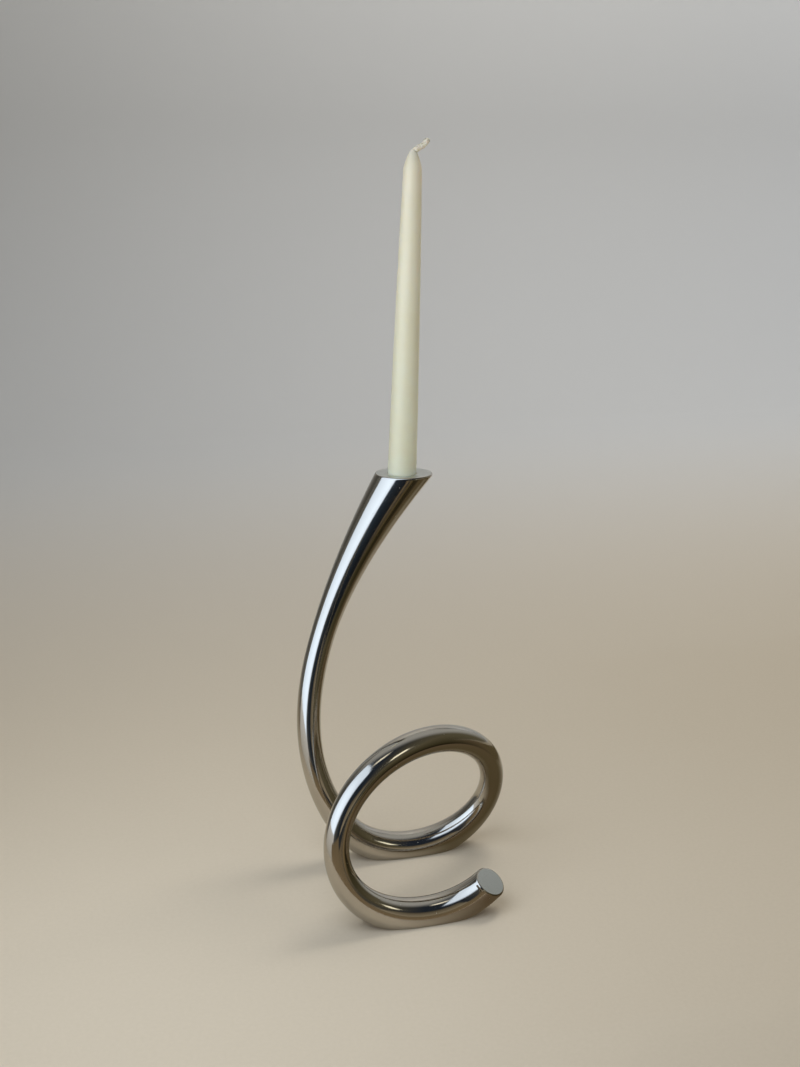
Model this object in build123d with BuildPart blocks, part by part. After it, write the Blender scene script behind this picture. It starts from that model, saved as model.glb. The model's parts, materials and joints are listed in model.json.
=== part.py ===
"""Spiral candle holder, with its taper candle and wick. Millimetres, +Z up.

One polished cast rod makes an oval coil that stands on the bottoms of its two turns, then leaves
the coil as a stem and flares into a horn. The horn is cut level and drilled for the candle.
The origin is the middle of the front foot's flat, and the coil's axis runs back along +Y.
"""

import math
import os

from build123d import *

# Coil, along the middle of the rod
coil_half_width = 68.0
coil_half_height = 56.5
coil_pitch = 97.5  # from the front foot to the back foot along the axis
coil_drift = 16.5  # from the front foot to the back foot sideways
foot_rise = 2.8  # from the flats up to the middle of the rod
free_end_turn = 50.0  # how far the free end turns up from the front foot, in degrees
coil_exit_turn = 58.0  # how far the coil goes on from the back foot to the stem, in degrees

# Stem and horn, along the middle of the rod
mouth_x = 22.0
mouth_y = 142.5
mouth_height = 300.0
horn_lean = 31.5  # from upright towards +X at the mouth, in degrees
horn_turn = 8.0  # of the same direction towards the front, in degrees
stem_pull = 76.0  # length over which the stem keeps the coil's direction
horn_pull = 156.0  # length over which it comes round to the horn's direction

# Thickness of the rod, from the free end to the mouth
end_diameter = 24.0
foot_diameter = 26.0
side_diameter = 18.5
crown_diameter = 21.0
stem_diameter = 18.5
neck_diameter = 19.0
mouth_diameter = 38.5
stem_place = 0.28  # where the stem and neck diameters are, as shares of the stem
neck_place = 0.61
flare_power = 1.7  # 1 is a straight cone, and more is a trumpet
rim_round = 1.2
end_cut_front = 19.5  # how far the free end's face turns from square to the front, in degrees
end_cut_in = 14.0  # how far it turns towards the middle of the coil, in degrees
end_spare = 10.0  # degrees that the rod runs on past the free end before it is cut
end_edge_break = 1.0

# Candle and socket
candle_diameter = 22.0
candle_length = 253.0
candle_lean = 2.0  # from upright towards +X, in degrees
candle_offset = 0.7  # of the socket from the middle of the horn, towards -X
butt_length = 18.0  # straight length at the foot of the candle
taper_swell = 0.45  # of the taper's side beyond a straight line
shoulder_diameter = 14.0
shoulder_length = 14.5
tip_diameter = 5.4
butt_edge_break = 0.8
socket_depth = 14.0
socket_clearance = 0.3
socket_edge_break = 0.5

# Wick
wick_diameter = 2.6
wick_clearance = 0.05
wick_recess = 1.0  # from the candle's foot up to the end of the wick
waxed_diameter = 4.2  # where the bare end is thick with wax
wick_rise = 2.9  # straight up from the candle's tip
wick_reach = 7.2  # then across
wick_reach_rise = 2.2
wick_hook = 2.6  # then up again, this far across
wick_hook_rise = 3.6
wick_bend = 2.5
wick_hook_bend = 4.0

# Places along the rod are stations: the coil's degrees from the front foot, then on up the stem
stem_span = 180.0  # degrees that the stem counts as
coil_steps = 12  # between sections, from the free end to the crown and from there to the stem
stem_steps = 13

crown = 180.0
back_foot = 360.0
exit_station = back_foot + coil_exit_turn
mouth_station = exit_station + stem_span
coil_axis_height = foot_rise + coil_half_height


def coil_point(station):
    """Goes round the oval; the pitch is gained over the crown, so both feet lie along X."""
    turn = math.radians(station)
    share = turn / (2 * math.pi)
    return Vector(
        coil_drift * share - coil_half_width * math.sin(turn),
        coil_pitch * (share - math.sin(turn) / (2 * math.pi)),
        coil_axis_height - coil_half_height * math.cos(turn),
    )


def direction(point_at, station):
    """Unit tangent of a curve that is given as a function."""
    nudge = 0.01
    return (point_at(station + nudge) - point_at(station - nudge)).normalized()


lean = math.radians(horn_lean)
turned = math.radians(-horn_turn)
horn_axis = Vector(
    math.sin(lean) * math.cos(turned), math.sin(turned), math.cos(lean) * math.cos(turned)
)
mouth_centre = Vector(mouth_x, mouth_y, mouth_height)
stem_start = coil_point(exit_station)
stem_handles = (
    stem_start,
    stem_start + direction(coil_point, exit_station) * stem_pull,
    mouth_centre - horn_axis * horn_pull,
    mouth_centre,
)


def rod_point(station):
    """Middle of the rod: the coil, then a cubic curve, then straight on past the mouth."""
    if station <= exit_station:
        return coil_point(station)
    share = (station - exit_station) / stem_span
    if share > 1:
        return mouth_centre + horn_axis * (3 * horn_pull * (share - 1))
    rest = 1 - share
    weights = (rest**3, 3 * rest**2 * share, 3 * rest * share**2, share**3)
    return sum((handle * weight for handle, weight in zip(stem_handles, weights)), Vector())


rod_start = -free_end_turn - end_spare
thickness = (
    (rod_start, end_diameter),
    (0.0, foot_diameter),
    (90.0, side_diameter),
    (crown, crown_diameter),
    (270.0, side_diameter),
    (back_foot, foot_diameter),
    (exit_station + stem_place * stem_span, stem_diameter),
    (exit_station + neck_place * stem_span, neck_diameter),
)


def rod_radius(station):
    """Swells and thins smoothly from one named diameter to the next, then flares to the mouth."""
    neck_station = thickness[-1][0]
    if station >= neck_station:
        share = (station - neck_station) / (mouth_station - neck_station)
        return (neck_diameter + (mouth_diameter - neck_diameter) * share**flare_power) / 2
    for (start, before), (end, after) in zip(thickness, thickness[1:]):
        if station <= end:
            share = (station - start) / (end - start)
            return (before + (after - before) * share * share * (3 - 2 * share)) / 2


def rod_plane(station):
    """Plane across the rod, with its X axis kept as near to the coil's axis as it can be."""
    along = direction(rod_point, station)
    return Plane(
        origin=rod_point(station),
        x_dir=Vector(0, 1, 0) - along * along.Y,
        z_dir=along,
    )


# The rod runs on past the mouth far enough for the level cut to go right through it
horn_spare = mouth_diameter * math.tan(lean)
spare_span = stem_span * horn_spare / (3 * horn_pull)
rod_lengths = (
    (rod_start, crown, coil_steps),
    (crown, exit_station, coil_steps),
    (exit_station, mouth_station + spare_span, stem_steps),
)

# The free end is cut on a slant, with its face turned to the front and up
free_end = rod_plane(-free_end_turn)
turn_front = math.tan(math.radians(end_cut_front))
turn_in = math.tan(math.radians(end_cut_in))
end_way = free_end.z_dir + free_end.x_dir * turn_front + free_end.y_dir * turn_in
end_cut = Plane(origin=free_end.origin, z_dir=-end_way)

# The socket and the candle share one leaning axis
candle_tilt = math.radians(candle_lean)
candle_axis = Vector(math.sin(candle_tilt), 0, math.cos(candle_tilt))
socket_mouth = mouth_centre - Vector(candle_offset, 0, 0)
seat = socket_mouth - candle_axis * socket_depth
seat_plane = Plane(origin=seat, x_dir=Vector(candle_axis.Z, 0, -candle_axis.X), z_dir=candle_axis)
profile_plane = Plane(origin=seat, x_dir=seat_plane.x_dir, z_dir=Vector(0, -1, 0))
socket_radius = candle_diameter / 2 + socket_clearance

os.makedirs("parts", exist_ok=True)

# Holder: the rod, ground flat under both turns, cut at both ends and drilled
with BuildPart() as spiral_holder:
    for start, end, steps in rod_lengths:
        for step in range(steps + 1):
            station = start + (end - start) * step / steps
            with BuildSketch(rod_plane(station)):
                Circle(rod_radius(station))
        loft()
    split(bisect_by=Plane.XY, keep=Keep.TOP)
    split(bisect_by=Plane.XY.offset(mouth_height), keep=Keep.BOTTOM)
    mouth_face = spiral_holder.faces().filter_by(GeomType.PLANE).sort_by(Axis.Z)[-1]
    fillet(mouth_face.edges(), rim_round)
    with BuildSketch(end_cut):
        Circle(end_diameter)
    extrude(amount=end_diameter, mode=Mode.SUBTRACT)
    end_face = spiral_holder.faces().filter_by(GeomType.PLANE).sort_by_distance(end_cut.origin)[0]
    chamfer(end_face.edges(), end_edge_break)
    with BuildSketch(seat_plane):
        Circle(socket_radius)
    extrude(amount=2 * socket_depth, mode=Mode.SUBTRACT)
    socket_edge = spiral_holder.edges().filter_by(GeomType.ELLIPSE).sort_by_distance(socket_mouth)[0]
    chamfer(socket_edge, socket_edge_break)
spiral_holder.part.label = "spiral_holder"
export_step(spiral_holder.part, "parts/spiral_holder.step")

# Candle: a straight butt, a long taper that swells a little and a shoulder drawn in to the wick
with BuildPart() as candle:
    with BuildSketch(profile_plane):
        with BuildLine():
            bore_radius = wick_diameter / 2 + wick_clearance
            shoulder_start = (shoulder_diameter / 2, candle_length - shoulder_length)
            tip_edge = (tip_diameter / 2, candle_length)
            butt_top = (candle_diameter / 2, butt_length)
            Polyline((bore_radius, 0), (candle_diameter / 2, 0), butt_top)
            taper = SagittaArc(butt_top, shoulder_start, -taper_swell)
            TangentArc(shoulder_start, tip_edge, tangent=taper % 1)
            Polyline(tip_edge, (bore_radius, candle_length), (bore_radius, 0))
        make_face()
    revolve(axis=Axis(seat, candle_axis))
    butt_face = candle.faces().sort_by_distance(seat)[0]
    chamfer(butt_face.outer_wire().edges(), butt_edge_break)
candle.part.label = "candle"
export_step(candle.part, "parts/candle.step")

# Wick: a cotton core up the middle of the candle, and a bare end that is stiff with wax and hooked
with BuildPart() as wick:
    with BuildSketch(seat_plane.offset(wick_recess)):
        Circle(wick_diameter / 2)
    extrude(amount=candle_length - wick_recess)
    with BuildLine(profile_plane) as bare_end:
        corner_height = candle_length + wick_rise
        hook_height = corner_height + wick_reach_rise
        FilletPolyline(
            (0, candle_length),
            (0, corner_height),
            (wick_reach, hook_height),
            (wick_reach + wick_hook, hook_height + wick_hook_rise),
            radius=[wick_bend, wick_hook_bend],
        )
    with BuildSketch(seat_plane.offset(candle_length)):
        Circle(waxed_diameter / 2)
    sweep(path=bare_end.wire())
    with Locations(bare_end.wire() @ 1):
        Sphere(waxed_diameter / 2)
wick.part.label = "wick"
export_step(wick.part, "parts/wick.step")
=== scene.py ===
"""Looks of a coiled metal candle holder with an ivory taper candle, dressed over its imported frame."""

import json
import math

import bpy
import numpy as np
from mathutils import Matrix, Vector


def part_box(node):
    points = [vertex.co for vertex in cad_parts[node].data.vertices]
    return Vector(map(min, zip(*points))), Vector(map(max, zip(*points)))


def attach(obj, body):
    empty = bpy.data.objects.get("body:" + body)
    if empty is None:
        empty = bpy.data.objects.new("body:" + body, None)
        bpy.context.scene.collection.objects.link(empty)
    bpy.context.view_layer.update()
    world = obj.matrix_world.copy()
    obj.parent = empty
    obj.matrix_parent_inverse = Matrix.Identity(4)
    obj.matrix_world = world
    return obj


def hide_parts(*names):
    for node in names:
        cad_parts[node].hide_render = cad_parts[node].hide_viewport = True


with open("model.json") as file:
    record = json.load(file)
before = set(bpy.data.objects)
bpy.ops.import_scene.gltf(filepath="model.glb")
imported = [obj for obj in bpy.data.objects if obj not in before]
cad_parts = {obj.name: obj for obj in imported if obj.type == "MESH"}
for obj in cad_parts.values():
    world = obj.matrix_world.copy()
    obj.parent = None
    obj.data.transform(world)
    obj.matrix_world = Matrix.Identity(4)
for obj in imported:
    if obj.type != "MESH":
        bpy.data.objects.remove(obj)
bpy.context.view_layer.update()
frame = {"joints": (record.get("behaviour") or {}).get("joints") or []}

# The holder: one rod of cast aluminium that makes an oval coil, then rises as a stem and flares
# into a horn. It was buffed bright by hand, then the feet, the free end and the level mouth were
# ground flat, and the mouth was drilled for the candle.
mm = 0.001
holder_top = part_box("spiral_holder")[1].z

coil_half_width = 68.0 * mm
coil_half_height = 56.5 * mm
coil_pitch = 97.5 * mm
coil_drift = 16.5 * mm
foot_rise = 2.8 * mm

# Places along the rod are stations: the coil's degrees from the front foot, then on up the stem
free_end = -50.0
end_spare = 10.0
rod_start = free_end - end_spare
front_foot = 0.0
left_side = 90.0
crown = 180.0
right_side = 270.0
back_foot = 360.0
coil_exit_turn = 58.0
coil_end = back_foot + coil_exit_turn
stem_span = 180.0
mouth_station = coil_end + stem_span
nudge = 0.01

mouth_centre = np.array([22.0 * mm, 142.5 * mm, holder_top])
horn_lean = math.radians(31.5)
horn_turn = math.radians(8.0)
horn_axis = np.array([
    math.sin(horn_lean) * math.cos(horn_turn),
    -math.sin(horn_turn),
    math.cos(horn_lean) * math.cos(horn_turn),
])
stem_pull = 76.0 * mm
horn_pull = 156.0 * mm

stem_place = 0.28
neck_place = 0.61
stem_station = coil_end + stem_place * stem_span
neck_station = coil_end + neck_place * stem_span
width_stations = np.array([
    rod_start, front_foot, left_side, crown, right_side, back_foot, stem_station, neck_station,
])
width_radii = np.array([24.0, 26.0, 18.5, 21.0, 18.5, 26.0, 18.5, 19.0]) / 2 * mm
mouth_radius = 19.25 * mm
flare_power = 1.7

rim_round = 1.2 * mm
end_round = 1.5 * mm
end_cut_front = math.radians(19.5)
end_cut_in = math.radians(14.0)
foot_round = 0.5 * mm
socket_round = 0.5 * mm
socket_radius = 11.3 * mm
socket_depth = 14.0 * mm
socket_offset = 0.7 * mm
candle_axis = np.array(frame["joints"][0]["axis"])
candle_axis = candle_axis / np.linalg.norm(candle_axis)
socket_mouth = mouth_centre - np.array([socket_offset, 0.0, 0.0])
seat = socket_mouth - candle_axis * socket_depth


def unit(vectors):
    """The same vectors, one unit long."""
    return vectors / np.linalg.norm(vectors, axis=-1, keepdims=True)


def smooth(share):
    """Goes from 0 to 1 with level ends, as 3 s^2 - 2 s^3."""
    share = np.clip(share, 0.0, 1.0)
    return share * share * (3.0 - 2.0 * share)


def coil_line(station):
    """An oval in X and Z, whose pitch along Y is gained mostly over the crown: t - sin(t) over a turn."""
    turn = np.radians(station)
    share = turn / (2.0 * np.pi)
    return np.stack([
        coil_drift * share - coil_half_width * np.sin(turn),
        coil_pitch * (share - np.sin(turn) / (2.0 * np.pi)),
        foot_rise + coil_half_height * (1.0 - np.cos(turn)),
    ], axis=-1)


coil_exit = coil_line(np.array(coil_end))
exit_way = unit(coil_line(np.array(coil_end + nudge)) - coil_line(np.array(coil_end - nudge)))
stem_handles = (
    coil_exit,
    coil_exit + exit_way * stem_pull,
    mouth_centre - horn_axis * horn_pull,
    mouth_centre,
)


def rod_line(station):
    """Middle of the rod: the coil, then a cubic curve with four handles, then straight on along the horn."""
    share = (station - coil_end) / (mouth_station - coil_end)
    s = np.clip(share, 0.0, 1.0)[..., None]
    start, first, second, last = stem_handles
    stem = (1 - s) ** 3 * start + 3 * (1 - s) ** 2 * s * first + 3 * (1 - s) * s**2 * second + s**3 * last
    beyond = np.maximum(share - 1.0, 0.0)[..., None] * 3.0 * (last - second)
    return np.where(share[..., None] > 0.0, stem + beyond, coil_line(station))


def rod_radius(station):
    """Swells smoothly from one named thickness to the next, then flares to the mouth as a power curve."""
    i = np.clip(np.searchsorted(width_stations, station, side="right") - 1, 0, len(width_stations) - 2)
    share = (station - width_stations[i]) / (width_stations[i + 1] - width_stations[i])
    body = width_radii[i] + (width_radii[i + 1] - width_radii[i]) * smooth(share)
    flare = (station - width_stations[-1]) / (mouth_station - width_stations[-1])
    horn = width_radii[-1] + (mouth_radius - width_radii[-1]) * np.maximum(flare, 0.0) ** flare_power
    return np.where(flare > 0.0, horn, body)


def rod_frame(station):
    """Along the rod, sideways (as near to Y as can be) and out from the coil's middle, at each station."""
    along = unit(rod_line(station + nudge) - rod_line(station - nudge))
    side = unit(np.array([0.0, 1.0, 0.0]) - along * along[..., 1:2])
    return along, side, np.cross(along, side)


def rod_skin(station, angle, reach):
    """Point at an angle from sideways towards outwards, at a distance from the rod's middle."""
    _, side, outer = rod_frame(station)
    way = np.cos(angle)[..., None] * side + np.sin(angle)[..., None] * outer
    return rod_line(station) + reach[..., None] * way


# Columns of the rings, from the middle of a flat round to the top. Near the feet they turn to face the
# floor, and those at a flat's corner keep a few degrees even where there is no flat. Angles are in degrees.
flat_columns = 6
corner_columns = 4
half_columns = 54
columns = 2 * half_columns
floor_height = 0.0
foot_reach = 42.0
foot_fade = 30.0
least_corner = 4.0
most_corner = 14.0
corner_growth = 40.0
corner_start = 0.7
corner_start_limit = 0.98


def rod_rings(station):
    """Rings across the rod. Each is a circle, and where it dips below the floor it is cut by a level line,
    with a small round at the two corners, so each point's reach is the nearest of circle, line and round."""
    _, side, outer = rod_frame(station)
    radius = rod_radius(station)
    steepness = np.hypot(side[:, 2], outer[:, 2])
    drop = (rod_line(station)[:, 2] - floor_height) / np.maximum(steepness, 1e-6)
    lowest = np.arctan2(-outer[:, 2], -side[:, 2])
    nearest_foot = np.minimum(np.abs(station - front_foot), np.abs(station - back_foot))
    turned = (lowest - np.pi / 2) * (1.0 - smooth((nearest_foot - foot_reach) / foot_fade))
    cut = drop < radius
    level = np.where(cut, drop, radius)
    inner = radius - foot_round
    round_angle = np.arccos(np.clip((level - foot_round) / inner, -1.0, 1.0))
    flat_angle = np.arctan2(inner * np.sin(round_angle), level)
    least = least_corner + corner_growth * (drop / radius - 1.0)
    least = np.radians(np.clip(least, least_corner, most_corner))
    end_angle = np.maximum(round_angle, least)[:, None]
    start_angle = np.minimum(flat_angle, end_angle[:, 0] * corner_start_limit)
    start_angle = np.where(round_angle < least, end_angle[:, 0] * corner_start, start_angle)[:, None]
    column = np.arange(half_columns + 1)[None, :]
    corner_end = flat_columns + corner_columns
    on_flat = np.arctan(np.tan(start_angle) * np.minimum(column / flat_columns, 1.0))
    on_corner = (end_angle - start_angle) * np.clip((column - flat_columns) / corner_columns, 0.0, 1.0)
    on_arc = (np.pi - end_angle) * np.clip((column - corner_end) / (half_columns - corner_end), 0.0, 1.0)
    angle = on_flat + on_corner + on_arc
    angle = np.concatenate([angle, -angle[:, -2:0:-1]], axis=1)
    away = np.abs(angle)
    line_reach = level[:, None] / np.maximum(np.cos(away), 1e-3)
    off = away - round_angle[:, None]
    corner_reach = inner[:, None] * np.cos(off) + np.sqrt(
        np.maximum(foot_round**2 - (inner[:, None] * np.sin(off)) ** 2, 0.0)
    )
    in_corner = cut[:, None] & (away > flat_angle[:, None]) & (away < round_angle[:, None])
    on_line = cut[:, None] & (away <= flat_angle[:, None])
    reach = np.where(on_line, np.minimum(line_reach, radius[:, None]), radius[:, None])
    reach = np.where(in_corner, corner_reach, reach)
    angle = np.pi / 2 + turned[:, None] + angle
    return rod_skin(np.repeat(station[:, None], columns, axis=1), angle, reach), angle


def round_corner(corner, first_way, second_way, radius, steps):
    """Rings of an arc that touches both ways out of a corner. It turns by what the corner lacks of a
    half turn."""
    opening = np.arccos(np.clip(np.sum(first_way * second_way, axis=-1, keepdims=True), -1.0, 1.0))
    middle = corner + unit(first_way + second_way) * radius / np.sin(opening / 2)
    tangent = radius / np.tan(opening / 2)
    start = corner + first_way * tangent - middle
    end = corner + second_way * tangent - middle
    swing = np.pi - opening
    shares = np.linspace(0.0, 1.0, steps + 1)
    return [
        middle + (np.sin((1 - share) * swing) * start + np.sin(share * swing) * end) / np.sin(swing)
        for share in shares
    ]


def inward_rings(outer_ring, inner_ring, shares):
    """Rings between two rings, at shares of the way from one to the other."""
    return [outer_ring + (inner_ring - outer_ring) * share for share in shares]


halvings = 40


def cut_stations(angles, start, beyond, cut_point, cut_way):
    """Station where each line along the rod meets a flat cut, found by halving the stretch between two
    stations again and again."""
    near = np.full(columns, start)
    far = np.full(columns, beyond)
    for _ in range(halvings):
        middle = (near + far) / 2
        before = (rod_skin(middle, angles, rod_radius(middle)) - cut_point) @ cut_way < 0.0
        near = np.where(before, middle, near)
        far = np.where(before, far, middle)
    return (near + far) / 2


def cut_edge(stations, angles, back, cut_point, cut_way, radius, steps):
    """Rings of the rounded edge of a flat cut, from the rod's wall to the face. The way along the wall and
    the way into the face are both square to the edge."""
    edge = rod_skin(stations, angles, rod_radius(stations))
    edge_way = unit(np.roll(edge, -1, axis=0) - np.roll(edge, 1, axis=0))
    wall_way = rod_skin(stations + back, angles, rod_radius(stations + back)) - edge
    wall_way = unit(wall_way - edge_way * np.sum(wall_way * edge_way, axis=-1, keepdims=True))
    face_way = np.cross(edge_way, cut_way)
    face_way = unit(face_way * np.sign(np.sum(face_way * (cut_point - edge), axis=-1, keepdims=True)))
    return round_corner(edge, wall_way, face_way, radius, steps)


def wall_rings(stations, angles, last_ring_stations, shares):
    """Stations between a square ring and a cut, and the rings there."""
    between = [stations + (last_ring_stations - stations) * share for share in shares]
    return between, [rod_skin(part, angles, rod_radius(part)) for part in between]


# The tube, with rings closer together where the two flats begin and end. Spacings are in stations.
cut_room = 8.0
horn_room = 12.0
scan_step = 0.05
ring_spacing = 1.3
close_reach = 2.0
close_rings = 9
least_spacing = 0.12
scan = np.arange(free_end, coil_end, scan_step)
_, scan_side, scan_outer = rod_frame(scan)
lowest_point = rod_line(scan)[:, 2] - rod_radius(scan) * np.hypot(scan_side[:, 2], scan_outer[:, 2])
flat_ends = scan[1:][np.diff(lowest_point > floor_height)]
even_stations = np.arange(free_end + cut_room, mouth_station - horn_room, ring_spacing)
near_ends = (flat_ends[:, None] + np.linspace(-close_reach, close_reach, close_rings)[None, :]).ravel()
tube_stations = np.sort(np.concatenate([even_stations, near_ends]))
tube_stations = tube_stations[np.concatenate([[True], np.diff(tube_stations) > least_spacing])]
tube_rings, tube_angles = rod_rings(tube_stations)

# The free end: a flat face cut on a slant, turned to the front and towards the coil's middle, with a round
# edge. On every face and wall the rings stand closer together near an edge. A pace is the length of rod
# in one station.
edge_nudge = 0.2
end_steps = 5
end_edge_room = 1.5
end_face_shares = (0.0, 0.3, 0.65, 0.93, 0.985)
end_wall_shares = np.linspace(0.04, 0.85, 6)
end_point = rod_line(np.array(free_end))
end_along, end_side, end_outer = rod_frame(np.array([free_end]))
end_way = -unit(end_along + end_side * math.tan(end_cut_front) + end_outer * math.tan(end_cut_in))[0]
end_angles = tube_angles[0]
end_stations = cut_stations(end_angles, tube_stations[0], rod_start, end_point, end_way)
end_edge = cut_edge(end_stations, end_angles, edge_nudge, end_point, end_way, end_round, end_steps)[::-1]
end_pace = np.linalg.norm(rod_line(np.array(free_end + 0.5)) - rod_line(np.array(free_end - 0.5)))
end_wall_stations, end_wall = wall_rings(
    end_stations + end_edge_room * end_round / end_pace, end_angles, tube_stations[0], end_wall_shares
)
end_middle = np.repeat(end_point[None], columns, axis=0)
end_rings = inward_rings(end_middle, end_edge[0], end_face_shares) + end_edge

# The mouth: the horn's level cut
rim_steps = 7
horn_wall_shares = np.linspace(0.12, 0.96, 14)
upright = np.array([0.0, 0.0, 1.0])
beyond_mouth = mouth_station + horn_room
mouth_angles = tube_angles[-1]
rim_stations = cut_stations(mouth_angles, tube_stations[-1], beyond_mouth, mouth_centre, upright)
rim_rings = cut_edge(rim_stations, mouth_angles, -edge_nudge, mouth_centre, upright, rim_round, rim_steps)
horn_pace = 3.0 * horn_pull / (mouth_station - coil_end)
horn_stations, horn_rings = wall_rings(
    np.full(columns, tube_stations[-1]),
    mouth_angles,
    rim_stations - rim_round / horn_pace,
    horn_wall_shares,
)

# The socket: a bore along the candle's axis with a flat floor, met by the mouth's face at a rounded edge
socket_steps = 4
mouth_face_shares = (0.04, 0.35, 0.7, 0.97)
bore_shares = (0.05, 0.35, 0.7, 0.97, 1.0)
seat_shares = (0.03, 0.5, 1.0)
across = np.array([candle_axis[2], 0.0, -candle_axis[0]])
spoke = rim_rings[-1] - socket_mouth
bore_angle = np.arctan2(spoke[:, 1], spoke @ across)
bore_way = np.cos(bore_angle)[:, None] * across + np.sin(bore_angle)[:, None] * np.array([0.0, 1.0, 0.0])
bore_floor = seat + socket_radius * bore_way
bore_edge = bore_floor + candle_axis * ((holder_top - bore_floor[:, 2:3]) / candle_axis[2])
level_way = unit(bore_way * np.array([1.0, 1.0, 0.0]))
down_way = np.repeat(-candle_axis[None], columns, axis=0)
socket_edge = round_corner(bore_edge, level_way, down_way, socket_round, socket_steps)
face_rings = inward_rings(rim_rings[-1], socket_edge[0], mouth_face_shares)
bore_rings = inward_rings(socket_edge[-1], bore_floor, bore_shares)
seat_rings = inward_rings(bore_floor, np.repeat(seat[None], columns, axis=0), seat_shares)

# Rings from the free end to the socket's floor, each with its stations and angles on the rod
mouth_rings = rim_rings + face_rings + socket_edge + bore_rings + seat_rings
cut_rings = end_rings + end_wall + list(tube_rings) + horn_rings + mouth_rings
ring_stations = np.stack(
    [end_stations] * len(end_rings)
    + end_wall_stations
    + [np.full(columns, station) for station in tube_stations]
    + horn_stations
    + [rim_stations] * len(mouth_rings)
)
ring_angles = np.concatenate([
    np.repeat(end_angles[None], len(end_rings) + len(end_wall), axis=0),
    tube_angles,
    np.repeat(mouth_angles[None], len(horn_rings) + len(mouth_rings), axis=0),
])


def ring_points(rings, joined=False):
    """The rings' points in one list. Unless the rings are joined, each end ring is a single point."""
    rings = np.stack(rings)
    width = rings.shape[-1]
    if joined:
        return rings.reshape(-1, width)
    return np.vstack([rings[:1, 0], rings[1:-1].reshape(-1, width), rings[-1:, 0]])


def ring_mesh(name, rings, joined=False):
    """Quads from each ring of points to the next. Every ring is closed on itself. The last ring joins the
    first, or else the two end rings are single points, closed by triangles."""
    count, around = np.shape(rings)[:2]
    points = ring_points(rings, joined)
    if joined:
        index = np.arange(count * around).reshape(count, around)
        index = np.vstack([index, index[:1]])
    else:
        index = np.arange(1, (count - 2) * around + 1).reshape(count - 2, around)
    beside = np.roll(index, -1, axis=1)
    faces = np.stack([index[:-1], beside[:-1], beside[1:], index[1:]], axis=-1).reshape(-1, 4).tolist()
    if not joined:
        last = len(points) - 1
        first_fan = np.stack([np.zeros_like(index[0]), beside[0], index[0]], axis=-1).tolist()
        last_fan = np.stack([np.full_like(index[-1], last), index[-1], beside[-1]], axis=-1).tolist()
        faces = first_fan + faces + last_fan
    mesh = bpy.data.meshes.new(name)
    mesh.from_pydata(points.tolist(), [], faces)
    mesh.polygons.foreach_set("use_smooth", np.ones(len(faces), dtype=bool))
    mesh.update()
    piece = bpy.data.objects.new(name, mesh)
    bpy.context.scene.collection.objects.link(piece)
    return piece


rod = ring_mesh("coiled_rod", cut_rings)

# The rod as if it were straight: the length along it, and the place across it. Polishing marks follow it.
measure_points = 2000
even_line = np.linspace(rod_start, beyond_mouth, measure_points)
even_steps = np.linalg.norm(np.diff(rod_line(even_line), axis=0), axis=1)
even_lengths = np.concatenate([[0.0], np.cumsum(even_steps)])
ring_radii = rod_radius(ring_stations)
straight_rings = np.stack([
    np.interp(ring_stations, even_line, even_lengths),
    ring_radii * np.cos(ring_angles),
    ring_radii * np.sin(ring_angles),
], axis=-1)
straight = rod.data.attributes.new("straight_rod", "FLOAT_VECTOR", "POINT")
straight.data.foreach_set("vector", ring_points(straight_rings).ravel())


def linear(hex_colour):
    """An sRGB hex value as linear red, green and blue, with full alpha."""
    parts = np.array([int(hex_colour[start:start + 2], 16) for start in (1, 3, 5)]) / 255.0
    parts = np.where(parts <= 0.04045, parts / 12.92, ((parts + 0.055) / 1.055) ** 2.4)
    return (*parts.tolist(), 1.0)


def bare_material(name):
    """A new material with an empty node tree."""
    material = bpy.data.materials.new(name)
    material.use_nodes = True
    material.node_tree.nodes.clear()
    return material


def add_node(tree, kind, inputs=None, **settings):
    """Adds one node with its settings. An input is a value, or another node's output to link."""
    added = tree.nodes.new(kind)
    for name, value in settings.items():
        setattr(added, name, value)
    for name, value in (inputs or {}).items():
        if isinstance(value, bpy.types.NodeSocket):
            tree.links.new(value, added.inputs[name])
        else:
            added.inputs[name].default_value = value
    return added


# Cast aluminium, buffed by hand on a cloth wheel: a warm mirror that is a little wavy, with faint haze,
# hairlines along the rod (drawn 0.7 mm wide, coarser than real ones) and the odd pit from the casting.
tarnish_patch = 40.0 * mm
wave_length = 26.0 * mm
wave_depth = 0.11 * mm
haze_patch = 9.0 * mm
hairline_width = 0.7 * mm
hairline_length = 30.0 * mm
hairline_depth = 0.0012 * mm
hairline_dulling = 0.05
pit_spacing = 7.0 * mm
pit_share = 0.045
pit_floor_share = 0.4 * pit_share
pit_depth = 0.12 * mm
pit_dulling = 0.35

buffed = bare_material("buffed_cast_aluminium")
tree = buffed.node_tree
place = add_node(tree, "ShaderNodeTexCoord").outputs["Object"]
rod_place = add_node(tree, "ShaderNodeAttribute", attribute_name="straight_rod").outputs["Vector"]
tarnish = add_node(tree, "ShaderNodeTexNoise", {"Vector": place, "Scale": 1 / tarnish_patch, "Detail": 4.0})
tone = add_node(
    tree, "ShaderNodeMix",
    {0: tarnish.outputs["Fac"], 6: linear("#c2bcb1"), 7: linear("#b2ab9f")},
    data_type="RGBA",
)
wave = add_node(tree, "ShaderNodeTexNoise", {"Vector": place, "Scale": 1 / wave_length, "Detail": 1.5})
waved = add_node(tree, "ShaderNodeBump", {"Height": wave.outputs["Fac"], "Distance": wave_depth})
stretch = add_node(
    tree, "ShaderNodeMapping",
    {"Vector": rod_place, "Scale": (1 / hairline_length, 1 / hairline_width, 1 / hairline_width)},
)
hairlines = add_node(
    tree, "ShaderNodeTexNoise",
    {"Vector": stretch.outputs["Vector"], "Scale": 1.0, "Detail": 2.0},
)
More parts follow.
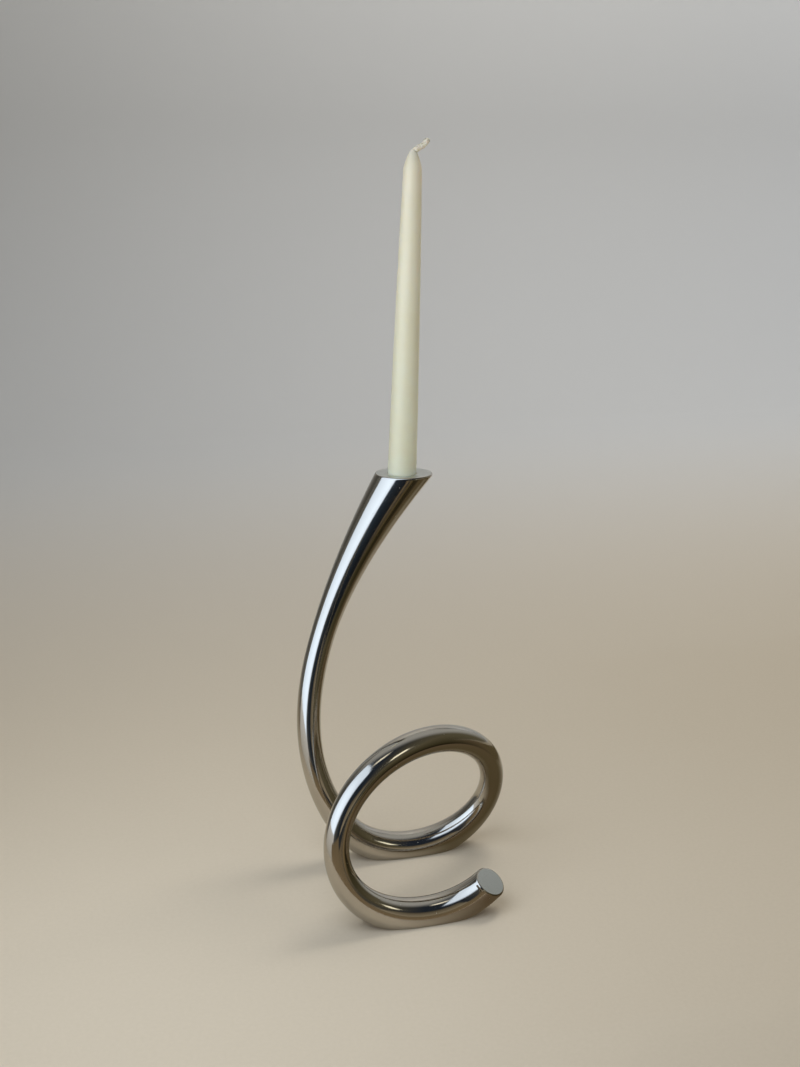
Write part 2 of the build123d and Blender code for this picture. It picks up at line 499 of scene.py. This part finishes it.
lined = add_node(
    tree, "ShaderNodeBump",
    {"Height": hairlines.outputs["Fac"], "Distance": hairline_depth, "Normal": waved.outputs["Normal"]},
)
cells = add_node(tree, "ShaderNodeTexVoronoi", {"Vector": place, "Scale": 1 / pit_spacing})
pit = add_node(
    tree, "ShaderNodeMapRange",
    {
        "Value": cells.outputs["Distance"],
        "From Min": pit_floor_share,
        "From Max": pit_share,
        "To Min": 1.0,
        "To Max": 0.0,
    },
    interpolation_type="SMOOTHSTEP",
)
pitted = add_node(
    tree, "ShaderNodeBump",
    {"Height": pit.outputs["Result"], "Distance": pit_depth, "Normal": lined.outputs["Normal"]},
    invert=True,
)
haze = add_node(tree, "ShaderNodeTexNoise", {"Vector": place, "Scale": 1 / haze_patch, "Detail": 5.0})
haze_roughness = add_node(
    tree, "ShaderNodeMapRange",
    {"Value": haze.outputs["Fac"], "From Min": 0.35, "From Max": 0.75, "To Min": 0.055, "To Max": 0.12},
)
line_roughness = add_node(
    tree, "ShaderNodeMath",
    {0: hairlines.outputs["Fac"], 1: hairline_dulling, 2: haze_roughness.outputs["Result"]},
    operation="MULTIPLY_ADD",
)
pit_roughness = add_node(
    tree, "ShaderNodeMath",
    {0: pit.outputs["Result"], 1: pit_dulling, 2: line_roughness.outputs["Value"]},
    operation="MULTIPLY_ADD",
)
metal = add_node(tree, "ShaderNodeBsdfPrincipled", {
    "Base Color": tone.outputs[2],
    "Metallic": 1.0,
    "Roughness": pit_roughness.outputs["Value"],
    "Normal": pitted.outputs["Normal"],
})
add_node(tree, "ShaderNodeOutputMaterial", {"Surface": metal.outputs["BSDF"]})

# The same metal where it was ground flat: a fine satin with straight belt lines, drawn 0.5 mm wide,
# which spreads a reflection into an even pale grey.
belt_line_width = 0.5 * mm
belt_line_length = 25.0 * mm
belt_line_depth = 0.004 * mm

ground = bare_material("belt_ground_aluminium")
tree = ground.node_tree
place = add_node(tree, "ShaderNodeTexCoord").outputs["Object"]
belt = add_node(
    tree, "ShaderNodeMapping",
    {"Vector": place, "Scale": (1 / belt_line_length, 1 / belt_line_width, 1 / belt_line_width)},
)
belt_lines = add_node(
    tree, "ShaderNodeTexNoise",
    {"Vector": belt.outputs["Vector"], "Scale": 1.0, "Detail": 3.0},
)
belt_roughness = add_node(
    tree, "ShaderNodeMapRange",
    {"Value": belt_lines.outputs["Fac"], "From Min": 0.3, "From Max": 0.7, "To Min": 0.27, "To Max": 0.35},
)
belt_tone = add_node(
    tree, "ShaderNodeMix",
    {0: belt_lines.outputs["Fac"], 6: linear("#ced0cb"), 7: linear("#bec0ba")},
    data_type="RGBA",
)
belted = add_node(tree, "ShaderNodeBump", {"Height": belt_lines.outputs["Fac"], "Distance": belt_line_depth})
satin = add_node(tree, "ShaderNodeBsdfPrincipled", {
    "Base Color": belt_tone.outputs[2],
    "Metallic": 1.0,
    "Roughness": belt_roughness.outputs["Result"],
    "Normal": belted.outputs["Normal"],
})
add_node(tree, "ShaderNodeOutputMaterial", {"Surface": satin.outputs["BSDF"]})

# Each gap between two rings has one finish, and the flats under the feet are ground too
flat_margin = 0.005 * mm
end_gaps = len(end_rings) - len(end_edge)
buffed_gaps = len(end_edge) + len(end_wall) + len(tube_stations) + len(horn_rings) + len(rim_rings) - 1
gap_finish = np.ones(len(cut_rings) - 1, dtype=np.int32)
gap_finish[end_gaps:end_gaps + buffed_gaps] = 0
face_finish = np.repeat(gap_finish, columns)
face_middles = np.empty(len(face_finish) * 3, dtype=np.float32)
rod.data.polygons.foreach_get("center", face_middles)
face_finish[face_middles[2::3] < floor_height + flat_margin] = 1
rod.data.materials.append(buffed)
rod.data.materials.append(ground)
rod.data.polygons.foreach_set("material_index", face_finish)

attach(rod, "holder")
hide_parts("spiral_holder")

# The candle: an ivory taper of wax, built up by dipping a wick again and again. The dips leave it
# thinner towards the top, with a soft shoulder, and its foot is trimmed straight to fit the socket.
candle_radius = 11.0 * mm
candle_length = 253.0 * mm
butt_length = 18.0 * mm
butt_round = 0.8 * mm
butt_wall_start = 2.0 * mm
taper_top = 238.5 * mm
taper_top_radius = 6.9 * mm
taper_swell = 0.45 * mm
shoulder_length = 14.0 * mm
tip_radius = 2.6 * mm
tip_round = 0.15 * mm
bore_radius = 1.35 * mm
dip_wave = 0.05 * mm
long_dip = 47.0 * mm
short_dip = 19.0 * mm
dip_fade = 30.0 * mm
candle_columns = 72
edge_rows = 6
taper_rows = 70
shoulder_rows = 36
bore_rows = 9


def taper_radius(height):
    """A straight butt, then a line that swells by a parabola and is drawn in to the tip by a quarter of
    a sine."""
    share = np.maximum(height - butt_length, 0.0) / (taper_top - butt_length)
    swell = 4.0 * taper_swell * share * (1.0 - share)
    line = candle_radius + (taper_top_radius - candle_radius) * share + swell
    below_tip = np.clip((candle_length - height) / shoulder_length, 0.0, 1.0)
    return tip_radius + (line - tip_radius) * np.sin(np.pi / 2 * below_tip)


quarter = np.linspace(0.0, np.pi / 2, edge_rows)
butt_edge = np.stack([
    candle_radius - butt_round + butt_round * np.sin(quarter),
    butt_round - butt_round * np.cos(quarter),
], axis=-1)
side_heights = np.concatenate([
    np.linspace(butt_wall_start, butt_length, edge_rows),
    np.linspace(butt_length, candle_length - shoulder_length, taper_rows)[1:],
    np.linspace(candle_length - shoulder_length, candle_length - tip_round, shoulder_rows)[1:],
])
side = np.stack([taper_radius(side_heights), side_heights], axis=-1)
tip_edge_radius = taper_radius(np.array(candle_length - tip_round)) - tip_round
tip_edge = np.stack([
    tip_edge_radius + tip_round * np.cos(quarter),
    candle_length - tip_round + tip_round * np.sin(quarter),
], axis=-1)
bottom_reach = np.linspace(bore_radius, candle_radius - butt_round, edge_rows)[:-1]
bottom = np.stack([bottom_reach, np.zeros_like(bottom_reach)], axis=-1)
bore_heights = np.linspace(candle_length, 0.0, bore_rows)[:-1]
bore = np.stack([np.full_like(bore_heights, bore_radius), bore_heights], axis=-1)
profile = np.concatenate([bottom, butt_edge, side, tip_edge[1:], bore])


def turned_rings(profile, count):
    """The profile's distances and heights, turned round the candle's axis. Low waves in the wall, worked out
    as sines of height and angle, stand for the unevenness of dipping; they fade out at the foot."""
    angle = np.linspace(0.0, 2.0 * np.pi, count, endpoint=False)[None, :]
    reach, height = profile[:, :1], profile[:, 1:]
    long_wave = np.sin(2 * np.pi * height / long_dip + 2.0 * np.sin(angle))
    short_wave = np.sin(2 * np.pi * height / short_dip + angle)
    outside = smooth((reach - 2.0 * bore_radius) / candle_radius)
    outside = outside * smooth((height - socket_depth) / dip_fade)
    reach = reach + dip_wave * 0.5 * (long_wave + short_wave) * outside
    way = np.cos(angle)[..., None] * across + np.sin(angle)[..., None] * np.array([0.0, 1.0, 0.0])
    return seat + height[..., None] * candle_axis + reach[..., None] * way


taper = ring_mesh("ivory_taper", turned_rings(profile, candle_columns), joined=True)

# Ivory paraffin wax, dipped and left to set: light sinks in by a few millimetres, so shade is soft and warm,
# and the skin has a dull sheen with faint clouding. It is greener at the thick foot than near the tip.
thick_wax_height = 310.0 * mm
thin_wax_height = 520.0 * mm
cloud_size = 30.0 * mm
skin_size = 1.6 * mm
skin_depth = 0.012 * mm
light_depth = 6.0 * mm

ivory = bare_material("dipped_ivory_wax")
tree = ivory.node_tree
place = add_node(tree, "ShaderNodeTexCoord").outputs["Object"]
clouds = add_node(tree, "ShaderNodeTexNoise", {"Vector": place, "Scale": 1 / cloud_size, "Detail": 3.0})
place_parts = add_node(tree, "ShaderNodeSeparateXYZ", {"Vector": place})
thinness = add_node(
    tree, "ShaderNodeMapRange",
    {"Value": place_parts.outputs["Z"], "From Min": thick_wax_height, "From Max": thin_wax_height},
)
clear_tone = add_node(
    tree, "ShaderNodeMix",
    {0: thinness.outputs["Result"], 6: linear("#e8ebd2"), 7: linear("#eee2c9")},
    data_type="RGBA",
)
wax_tone = add_node(
    tree, "ShaderNodeMix",
    {0: clouds.outputs["Fac"], 6: clear_tone.outputs[2], 7: linear("#e2d9b6")},
    data_type="RGBA",
)
skin = add_node(tree, "ShaderNodeTexNoise", {"Vector": place, "Scale": 1 / skin_size, "Detail": 2.0})
skin_bump = add_node(tree, "ShaderNodeBump", {"Height": skin.outputs["Fac"], "Distance": skin_depth})
sheen = add_node(
    tree, "ShaderNodeMapRange",
    {"Value": clouds.outputs["Fac"], "From Min": 0.3, "From Max": 0.7, "To Min": 0.36, "To Max": 0.5},
)
wax = add_node(tree, "ShaderNodeBsdfPrincipled", {
    "Base Color": wax_tone.outputs[2],
    "Roughness": sheen.outputs["Result"],
    "IOR": 1.44,
    "Subsurface Weight": 0.5,
    "Subsurface Radius": (1.0, 0.85, 0.6),
    "Subsurface Scale": light_depth,
    "Normal": skin_bump.outputs["Normal"],
})
add_node(tree, "ShaderNodeOutputMaterial", {"Surface": wax.outputs["BSDF"]})
taper.data.materials.append(ivory)

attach(taper, "candle")
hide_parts("candle")

# The wick: a plait of cotton that runs up the middle of the candle. Its bare end was dipped along with
# the candle, so it is thick with wax, and it set in a hook.
wick_radius = 1.3 * mm
wick_recess = 1.0 * mm
waxed_radius = 2.15 * mm
wax_collar = 0.5 * mm
collar_height = 1.8 * mm
wick_sunk = 1.2 * mm
wick_lean = 2.1 * mm
wick_rise = 3.2 * mm
wick_reach = 5.8 * mm
wick_reach_rise = 2.2 * mm
wick_hook = 3.3 * mm
wick_hook_rise = 5.4 * mm
plait_length = 4.6 * mm
plait_depth = 0.16 * mm
strands_each_way = 3.0
wax_lump = 0.12 * mm
short_lump = 3.7 * mm
long_lump = 9.0 * mm
lump_shift = 0.8
blunt_power = 2.6
wick_columns = 40
wick_steps = 44
core_steps = 24

root = np.array([0.0, candle_length - wick_sunk])
corner = root + np.array([wick_lean, wick_rise])
hook = corner + np.array([wick_reach, wick_reach_rise])
end = hook + np.array([wick_hook, wick_hook_rise])
half_way = (corner + hook) / 2


def bend(start, turn, finish, share):
    """A parabola that leaves one point and arrives at another along the lines to its turning point."""
    share = share[:, None]
    return (1 - share) ** 2 * start + 2 * share * (1 - share) * turn + share**2 * finish


shares = np.linspace(0.0, 1.0, wick_steps)
bare_line = np.concatenate([bend(root, corner, half_way, shares)[:-1], bend(half_way, hook, end, shares)])
bare_steps = np.linalg.norm(np.diff(bare_line, axis=0), axis=1)
bare_length = np.concatenate([[0.0], np.cumsum(bare_steps)])
bare_way = unit(np.gradient(bare_line, bare_length, axis=0))

# The core's rings are plain circles, and its lower end is closed by a ring of no width
core_heights = np.linspace(wick_recess, candle_length - wick_sunk, core_steps)
core_heights = np.concatenate([core_heights[:1], core_heights])
core_line = np.stack([np.zeros_like(core_heights), core_heights], axis=-1)
core_way = np.tile([0.0, 1.0], (len(core_heights), 1))
core_reach = np.full((len(core_heights), wick_columns), wick_radius)
core_reach[0] = 0.0


def wick_rings(line, way, reach):
    """Rings across a line that lies in the plane of the candle's axis and the hook."""
    angle = np.linspace(0.0, 2.0 * np.pi, wick_columns, endpoint=False)[None, :, None]
    middle = seat + line[:, :1] * across + line[:, 1:] * candle_axis
    sideways = way[:, 1:] * across - way[:, :1] * candle_axis
    spoke = np.cos(angle) * sideways[:, None] + np.sin(angle) * np.array([0.0, 1.0, 0.0])
    return middle[:, None] + reach[..., None] * spoke


def plait(length):
    """Height of a plait of six strands at each length and angle: two sets of ridges that wind opposite ways,
    where the higher of the two shows."""
    angle = np.linspace(0.0, 2.0 * np.pi, wick_columns, endpoint=False)[None, :]
    wind = 2.0 * np.pi * length[:, None] / plait_length
    return np.maximum(np.cos(strands_each_way * angle + wind), np.cos(strands_each_way * angle - wind))


into_end = ((bare_length - bare_length[-1] + waxed_radius) / waxed_radius).clip(0.0)
blunt = np.sqrt(np.clip(1.0 - into_end**blunt_power, 0.0, 1.0))
collar = wax_collar * np.exp(-((bare_length / collar_height) ** 2))
lumps = wax_lump * np.sin(2 * np.pi * bare_length / short_lump + lump_shift)
lumps = lumps * np.sin(2 * np.pi * bare_length / long_lump)
bare_reach = (waxed_radius - plait_depth + collar + lumps)[:, None] + plait_depth * plait(bare_length)
bare_reach = bare_reach * blunt[:, None]
wick_line = np.concatenate([core_line, bare_line])
wick_way = np.concatenate([core_way, bare_way])
wick_reaches = np.concatenate([core_reach, bare_reach])
wick = ring_mesh("waxed_wick", wick_rings(wick_line, wick_way, wick_reaches))

# Plaited cotton soaked in wax: cream where the wax is thick, with flecks of brown thread where it thins out
# above the candle's tip. The threads are drawn 0.9 mm wide, coarser than real ones.
thread_size = 0.9 * mm
thread_depth = 0.05 * mm
fleck_size = 2.0 * mm
most_fleck = 0.9
bare_height = (seat + candle_length * candle_axis)[2]
wax_fade = 5.0 * mm
cotton_light_depth = 1.5 * mm

cotton = bare_material("waxed_cotton_plait")
tree = cotton.node_tree
place = add_node(tree, "ShaderNodeTexCoord").outputs["Object"]
place_parts = add_node(tree, "ShaderNodeSeparateXYZ", {"Vector": place})
thin_wax = add_node(
    tree, "ShaderNodeMapRange",
    {
        "Value": place_parts.outputs["Z"],
        "From Min": bare_height,
        "From Max": bare_height + wax_fade,
        "To Max": most_fleck,
    },
)
flecks = add_node(tree, "ShaderNodeTexNoise", {"Vector": place, "Scale": 1 / fleck_size, "Detail": 2.0})
fleck = add_node(
    tree, "ShaderNodeMapRange",
    {
        "Value": flecks.outputs["Fac"],
        "From Min": 0.45,
        "From Max": 0.72,
        "To Max": thin_wax.outputs["Result"],
    },
    interpolation_type="SMOOTHSTEP",
)
cotton_tone = add_node(
    tree, "ShaderNodeMix",
    {0: fleck.outputs["Result"], 6: linear("#ece1c8"), 7: linear("#8a7857")},
    data_type="RGBA",
)
threads = add_node(tree, "ShaderNodeTexNoise", {"Vector": place, "Scale": 1 / thread_size, "Detail": 4.0})
thread_bump = add_node(tree, "ShaderNodeBump", {"Height": threads.outputs["Fac"], "Distance": thread_depth})
waxed = add_node(tree, "ShaderNodeBsdfPrincipled", {
    "Base Color": cotton_tone.outputs[2],
    "Roughness": 0.5,
    "IOR": 1.44,
    "Subsurface Weight": 0.2,
    "Subsurface Radius": (1.0, 0.7, 0.35),
    "Subsurface Scale": cotton_light_depth,
    "Normal": thread_bump.outputs["Normal"],
})
add_node(tree, "ShaderNodeOutputMaterial", {"Surface": waxed.outputs["BSDF"]})
wick.data.materials.append(cotton)

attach(wick, "candle")
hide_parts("wick")

# The stage: one sheet of pale matt paper that lies under the holder and sweeps up behind it. It is warm
# where the holder stands and a cool pale grey at the back, and lies just under the feet.
sweep_half_width = 3.2
sweep_front = -3.0
sweep_back = 1.7
sweep_radius = 0.6
sweep_height = 2.6
sweep_curve_points = 25
paper_drop = 0.05 * mm
paper_grain = 3.0 * mm
paper_fade_start = 0.2

swing = np.linspace(0.0, np.pi / 2, sweep_curve_points)
sweep_line = np.concatenate([
    [[sweep_front, 0.0]],
    np.stack([sweep_back + sweep_radius * np.sin(swing), sweep_radius * (1.0 - np.cos(swing))], axis=-1),
    [[sweep_back + sweep_radius, sweep_height]],
])
sweep_points = np.concatenate([
    np.insert(sweep_line, 0, side_x, axis=1) for side_x in (-sweep_half_width, sweep_half_width)
])
sweep_points[:, 2] -= paper_drop
step = np.arange(len(sweep_line) - 1)
sweep_faces = np.stack([step, step + len(sweep_line), step + len(sweep_line) + 1, step + 1], axis=-1)


def sheet_mesh(name, points, faces):
    """A plain sheet of the stage, from its points and faces."""
    mesh = bpy.data.meshes.new(name)
    mesh.from_pydata(points.tolist(), [], faces.tolist())
    mesh.polygons.foreach_set("use_smooth", np.ones(len(faces), dtype=bool))
    piece = bpy.data.objects.new(name, mesh)
    bpy.context.scene.collection.objects.link(piece)
    return piece


sweep = sheet_mesh("paper_sweep", sweep_points, sweep_faces)
paper = bare_material("matt_paper")
tree = paper.node_tree
place = add_node(tree, "ShaderNodeTexCoord").outputs["Object"]
grain = add_node(tree, "ShaderNodeTexNoise", {"Vector": place, "Scale": 1 / paper_grain, "Detail": 2.0})
floor_tone = add_node(
    tree, "ShaderNodeMix",
    {0: grain.outputs["Fac"], 6: linear("#d6c8b1"), 7: linear("#d0c2aa")},
    data_type="RGBA",
)
backwards = add_node(tree, "ShaderNodeSeparateXYZ", {"Vector": place}).outputs["Y"]
fade = add_node(
    tree, "ShaderNodeMapRange",
    {"Value": backwards, "From Min": paper_fade_start, "From Max": sweep_back},
    interpolation_type="SMOOTHSTEP",
)
paper_tone = add_node(
    tree, "ShaderNodeMix",
    {0: fade.outputs["Result"], 6: floor_tone.outputs[2], 7: linear("#cfcecb")},
    data_type="RGBA",
)
matt = add_node(tree, "ShaderNodeBsdfPrincipled", {"Base Color": paper_tone.outputs[2], "Roughness": 0.9})
add_node(tree, "ShaderNodeOutputMaterial", {"Surface": matt.outputs["BSDF"]})
sweep.data.materials.append(paper)

# The light: two soft lamps and a dim room light the object, and two more lamps light the paper behind it.
# Glowing cards that show only in reflections paint the polished rod's reflections: painted highlights of a
# large window close by on the left in front and of two small warm panes, and painted reflections of a wall,
# a shelf, a screen and mats that give the rod its tan, navy and olive sides, with painted floor shade among
# them.
# The window card glows bluish white, a painted reflection of a window that gives the rod its bright bands:
# brightest round one place, and fading out at its front end
window_foot = np.array([[-0.45, 0.19, 0.16], [-0.345, -0.22, 0.172]])
window_head = np.array([[-0.30, 0.28, 0.92], [0.05, -0.52, 0.92]])
window_columns = 20
window_levels = 17
window_fade = (0.96, 1.14)
window_bright_place = np.array([-0.34, -0.12, 0.30])
window_bright_reach = 0.40
window_strengths = (2.7, 1.9)


def card_tones(rows, tones, strength=1.0):
    """One linear colour for each row of a card's points, times a strength, with full alpha."""
    colours = np.array([linear(tone) for tone in tones])
    colours[:, :3] *= strength
    return np.repeat(colours[:, None], rows.shape[1], axis=1)


over = np.linspace(0.0, window_fade[1], window_columns)[:, None]
up = np.linspace(0.0, 1.0, window_levels)[:, None, None]
sill = window_foot[0] * (1.0 - over) + window_foot[1] * over
head = window_head[0] * (1.0 - over) + window_head[1] * over
window_rows = sill * (1.0 - up) + head * up
window_tones = card_tones(window_rows, ["#d2e4fd"] * window_levels)
from_bright = np.linalg.norm(window_rows - window_bright_place, axis=-1, keepdims=True)
window_tones[..., :3] *= np.interp(from_bright, [0.0, window_bright_reach], window_strengths)
window_tones[..., 3] = np.interp(over[:, 0], window_fade, [1.0, 0.0])

# Painted reflections of the wall under the window, and of a shelf and a low tan card in front
shelf_height = 0.20
wall_rows = np.stack([sill * np.array([1.0, 1.0, 0.0]), sill])
shelf_rows = np.array([
    [[-0.02, -0.20, shelf_height], [0.12, -0.20, shelf_height]],
    [[-0.02, -0.28, shelf_height], [0.17, -0.28, shelf_height]],
    [[-0.06, -0.75, shelf_height], [0.42, -0.75, shelf_height]],
])
low_card_depth = -0.20
low_card_across = np.array([-0.40, -0.07, -0.03, 0.06, 0.09, 0.12, 0.28])
low_card_heights = np.interp(low_card_across, [-0.07, -0.03], [0.11, 0.07])[:, None]
low_card_foot = np.stack([
    low_card_across,
    np.full_like(low_card_across, low_card_depth),
    np.zeros_like(low_card_across),
], axis=-1)
low_card_rows = np.stack([low_card_foot, low_card_foot + low_card_heights * upright])
low_card_tones = card_tones(low_card_rows, ["#8d7c62", "#7d6f58"])
low_card_tones[..., 3] = np.array([1.0, 1.0, 1.0, 1.0, 0.0, 1.0, 1.0])

# Sheets on the floor that show only in reflections: in front a painted dark navy reflection, paler blue at
# its left edge, and on the right painted floor shade in dark olive brown, which fades in from its left edge
floor_card_height = 0.2 * mm
front_dark_reflection_plan = np.array([
    [[-2.0, -2.0], [0.05, -2.0], [0.10, -2.0], [1.0, -2.0]],
    [[-0.4, -0.21], [0.05, -0.21], [0.10, -0.17], [0.4, -0.17]],
])
front_dark_reflection_rows = np.insert(front_dark_reflection_plan, 2, floor_card_height, axis=-1)
front_dark_reflection_tones = card_tones(front_dark_reflection_rows, ["#1e242c"] * 2)
front_dark_reflection_tones[:, 0] = linear("#4a5a6e")
floor_shade_across = np.array([-0.02, 0.05, 0.24, 0.34, 0.90])
floor_shade_along = np.array([-0.15, 0.06, 0.20, 0.45])
painted_floor_shade_rows = np.insert(np.stack(np.meshgrid(floor_shade_across, floor_shade_along), axis=-1), 2, floor_card_height, axis=-1)
painted_floor_shade_tones = card_tones(painted_floor_shade_rows, ["#7e6b59", "#62573f", "#62573f", "#62573f"])
painted_floor_shade_tones[..., 3] = np.array([[0, 1, 1, 1, 1], [0, 1, 1, 1, 1], [0, 0, 0, 1, 1], [0, 0, 0, 1, 1]])

# Two small panes that glow and paint highlights on the rod: one overhead, with soft ends, and one on the
# right, round the coil
card_middle = np.array([0.0, 70.0 * mm, 0.0])
overhead_height = 0.60
overhead_across = np.linspace(-0.06, 0.14, 5)
overhead_depths = np.array([-0.14, -0.065])
overhead_strength = 1.9
far_pane_distance = 0.30
far_pane_angles = np.linspace(34.0, 46.0, 9)
far_pane_foot_height = 0.215
far_pane_height = 0.055
far_pane_strength = 2.2


def bearing(azimuth, elevation):
    """The direction at an angle round from the front, towards +X, and an angle above the horizon, both
    in degrees."""
    around, up = np.broadcast_arrays(np.radians(azimuth), np.radians(elevation))
    return np.stack([np.sin(around) * np.cos(up), -np.cos(around) * np.cos(up), np.sin(up)], axis=-1)


overhead_plan = np.stack(np.meshgrid(overhead_across, overhead_depths), axis=-1)
overhead_rows = np.insert(overhead_plan, 2, overhead_height, axis=-1)
overhead_tones = card_tones(overhead_rows, ["#f1eee0"] * 2, overhead_strength)
overhead_tones[..., 3] = np.array([0.0, 0.8, 1.0, 0.8, 0.0])
far_pane_foot = card_middle + far_pane_distance * bearing(far_pane_angles, 0.0)
far_pane_foot = far_pane_foot + far_pane_foot_height * upright
far_pane_rows = np.stack([far_pane_foot, far_pane_foot + far_pane_height * upright])
far_pane_tones = card_tones(far_pane_rows, ["#f0ecd8"] * 2, far_pane_strength)

# A card round the right side that shows only in reflections, with painted shade: darkest at the floor and
# lighter higher up, a lighter tan low down at its front end, and fading out towards the back
screen_distance = 0.22
screen_angles = np.linspace(25.0, 95.0, 36)
screen_dark_height = 0.045
screen_step_height = 0.015
screen_foot = card_middle + screen_distance * bearing(screen_angles, 0.0)
screen_dark = screen_foot + screen_dark_height * upright
screen_heights = np.interp(screen_angles, [45.0, 60.0], [0.15, 0.20])[:, None]
screen_top = screen_foot + screen_heights * upright
screen_rows = np.stack([screen_foot, screen_dark, screen_dark + screen_step_height * upright, screen_top])
screen_tones = card_tones(screen_rows, ["#201a0e", "#3c3724", "#443f2b", "#6a6450"])
near_share = np.interp(screen_angles, [32.0, 41.0], [1.0, 0.0])[:, None]
screen_tones[:2] += near_share * (np.array(linear("#806f50")) - screen_tones[:2])
screen_tones[..., 3] = np.interp(screen_angles, [66.0, 86.0], [1.0, 0.0])

cards = (
    ("window_reflection_card", window_rows, window_tones),
    ("overhead_pane_highlight", overhead_rows, overhead_tones),
    ("far_pane_highlight", far_pane_rows, far_pane_tones),
    ("under_sill_reflection", wall_rows, card_tones(wall_rows, ["#c4c2ba", "#e6e7ea"])),
    ("front_shelf_reflection", shelf_rows, card_tones(shelf_rows, ["#45423c", "#7c7362", "#b3a891"])),
    ("front_card_reflection", low_card_rows, low_card_tones),
    ("side_painted_shade", screen_rows, screen_tones),
    ("front_dark_reflection", front_dark_reflection_rows, front_dark_reflection_tones),
    ("painted_floor_shade", painted_floor_shade_rows, painted_floor_shade_tones),
)
# One glowing material paints each card's reflection tone, and is clear where the tone fades out
painted_reflection_glow = bare_material("painted_reflection_glow")
tree = painted_reflection_glow.node_tree
card_tone = add_node(tree, "ShaderNodeAttribute", attribute_name="card_tone")
glow = add_node(tree, "ShaderNodeEmission", {"Color": card_tone.outputs["Color"], "Strength": 1.0})
clear = add_node(tree, "ShaderNodeBsdfTransparent")
faded = add_node(
    tree, "ShaderNodeMixShader",
    {0: card_tone.outputs["Alpha"], 1: clear.outputs["BSDF"], 2: glow.outputs["Emission"]},
)
add_node(tree, "ShaderNodeOutputMaterial", {"Surface": faded.outputs["Shader"]})
for name, rows, tones in cards:
    row_count, row_width = rows.shape[:2]
    index = np.arange(row_count * row_width).reshape(row_count, row_width)
    quads = np.stack([index[:-1, :-1], index[:-1, 1:], index[1:, 1:], index[1:, :-1]], axis=-1)
    card = sheet_mesh(name, rows.reshape(-1, 3), quads.reshape(-1, 4))
    card.data.attributes.new("card_tone", "FLOAT_COLOR", "POINT").data.foreach_set("color", tones.ravel())
    card.data.materials.append(painted_reflection_glow)
    card.visible_camera = False
    card.visible_shadow = False
    card.visible_diffuse = False

# Each lamp's name, place, aim, width, watts and colour
lamps = (
    ("window_lamp", (-0.25, -0.12, 0.48), (0.0, 0.1, 0.15), 0.55, 2.05, "#e9f2ff"),
    ("fill_lamp", (0.55, -0.25, 0.45), (0.03, 0.14, 0.35), 0.5, 0.7, "#fafbff"),
    ("backdrop_lamp", (0.9, 0.9, 2.2), (0.5, 2.2, 0.75), 1.2, 31.0, "#ffffff"),
    ("side_backdrop_lamp", (2.7, 1.4, 1.5), (2.5, 2.3, 0.9), 0.6, 11.0, "#eef4ff"),
)
for name, lamp_place, lamp_aim, lamp_width, lamp_watts, lamp_colour in lamps:
    lamp_data = bpy.data.lights.new(name, "AREA")
    lamp_data.size = lamp_width
    lamp_data.energy = lamp_watts
    lamp_data.color = linear(lamp_colour)[:3]
    lamp = bpy.data.objects.new(name, lamp_data)
    lamp.location = lamp_place
    lamp.rotation_euler = (Vector(lamp_aim) - Vector(lamp_place)).to_track_quat("-Z", "Y").to_euler()
    lamp.visible_glossy = False
    bpy.context.scene.collection.objects.link(lamp)

# The room: dim and dark blue in front, warmer at the sides, and pale high up behind the object
pale_way = (0.342, 0.733, 0.587)

room = bpy.data.worlds.new("dim_room")
bpy.context.scene.world = room
room.use_nodes = True
room.node_tree.nodes.clear()
tree = room.node_tree
sky = add_node(tree, "ShaderNodeTexCoord").outputs["Generated"]
sky_parts = add_node(tree, "ShaderNodeSeparateXYZ", {"Vector": sky})
towards_pale = add_node(tree, "ShaderNodeVectorMath", {0: sky, 1: pale_way}, operation="DOT_PRODUCT")
rise = add_node(
    tree, "ShaderNodeMapRange",
    {"Value": towards_pale.outputs["Value"], "From Min": 0.48, "From Max": 0.82},
    interpolation_type="SMOOTHSTEP",
)
leftwards = add_node(
    tree, "ShaderNodeMapRange",
    {"Value": sky_parts.outputs["X"], "From Min": -0.2, "From Max": -0.9},
)
rightwards = add_node(
    tree, "ShaderNodeMapRange",
    {"Value": sky_parts.outputs["X"], "From Min": 0.3, "From Max": 0.9},
)
front_left = add_node(
    tree, "ShaderNodeMix",
    {0: leftwards.outputs["Result"], 6: linear("#28303b"), 7: linear("#747470")},
    data_type="RGBA",
)
low_tone = add_node(
    tree, "ShaderNodeMix",
    {0: rightwards.outputs["Result"], 6: front_left.outputs[2], 7: linear("#67624f")},
    data_type="RGBA",
)
room_tone = add_node(
    tree, "ShaderNodeMix",
    {0: rise.outputs["Result"], 6: low_tone.outputs[2], 7: linear("#b8baba")},
    data_type="RGBA",
)
air = add_node(tree, "ShaderNodeBackground", {"Color": room_tone.outputs[2], "Strength": 1.0})
add_node(tree, "ShaderNodeOutputWorld", {"Surface": air.outputs["Background"]})

# The camera: in front and a little to the left, above the horn's mouth, looking down on the coil. Its
# place and lens were fitted to the rod's outline.
camera_distance = 867.2 * mm
camera_azimuth = -16.495
camera_height = 541.4 * mm
camera_turn = 1.224
camera_dip = 16.031
frame_height_pixels = 1067.0
focal_pixels = 1342.9

camera_data = bpy.data.cameras.new("camera")
camera_data.sensor_width = 36.0
camera_data.lens = camera_data.sensor_width * focal_pixels / frame_height_pixels
camera = bpy.data.objects.new("camera", camera_data)
camera.location = (*(camera_distance * bearing(camera_azimuth, 0.0))[:2].tolist(), camera_height)
camera.rotation_euler = (math.radians(90.0 - camera_dip), 0.0, math.radians(camera_azimuth + camera_turn))
bpy.context.scene.collection.objects.link(camera)
bpy.context.scene.camera = camera
bpy.context.scene.view_settings.view_transform = "Standard"
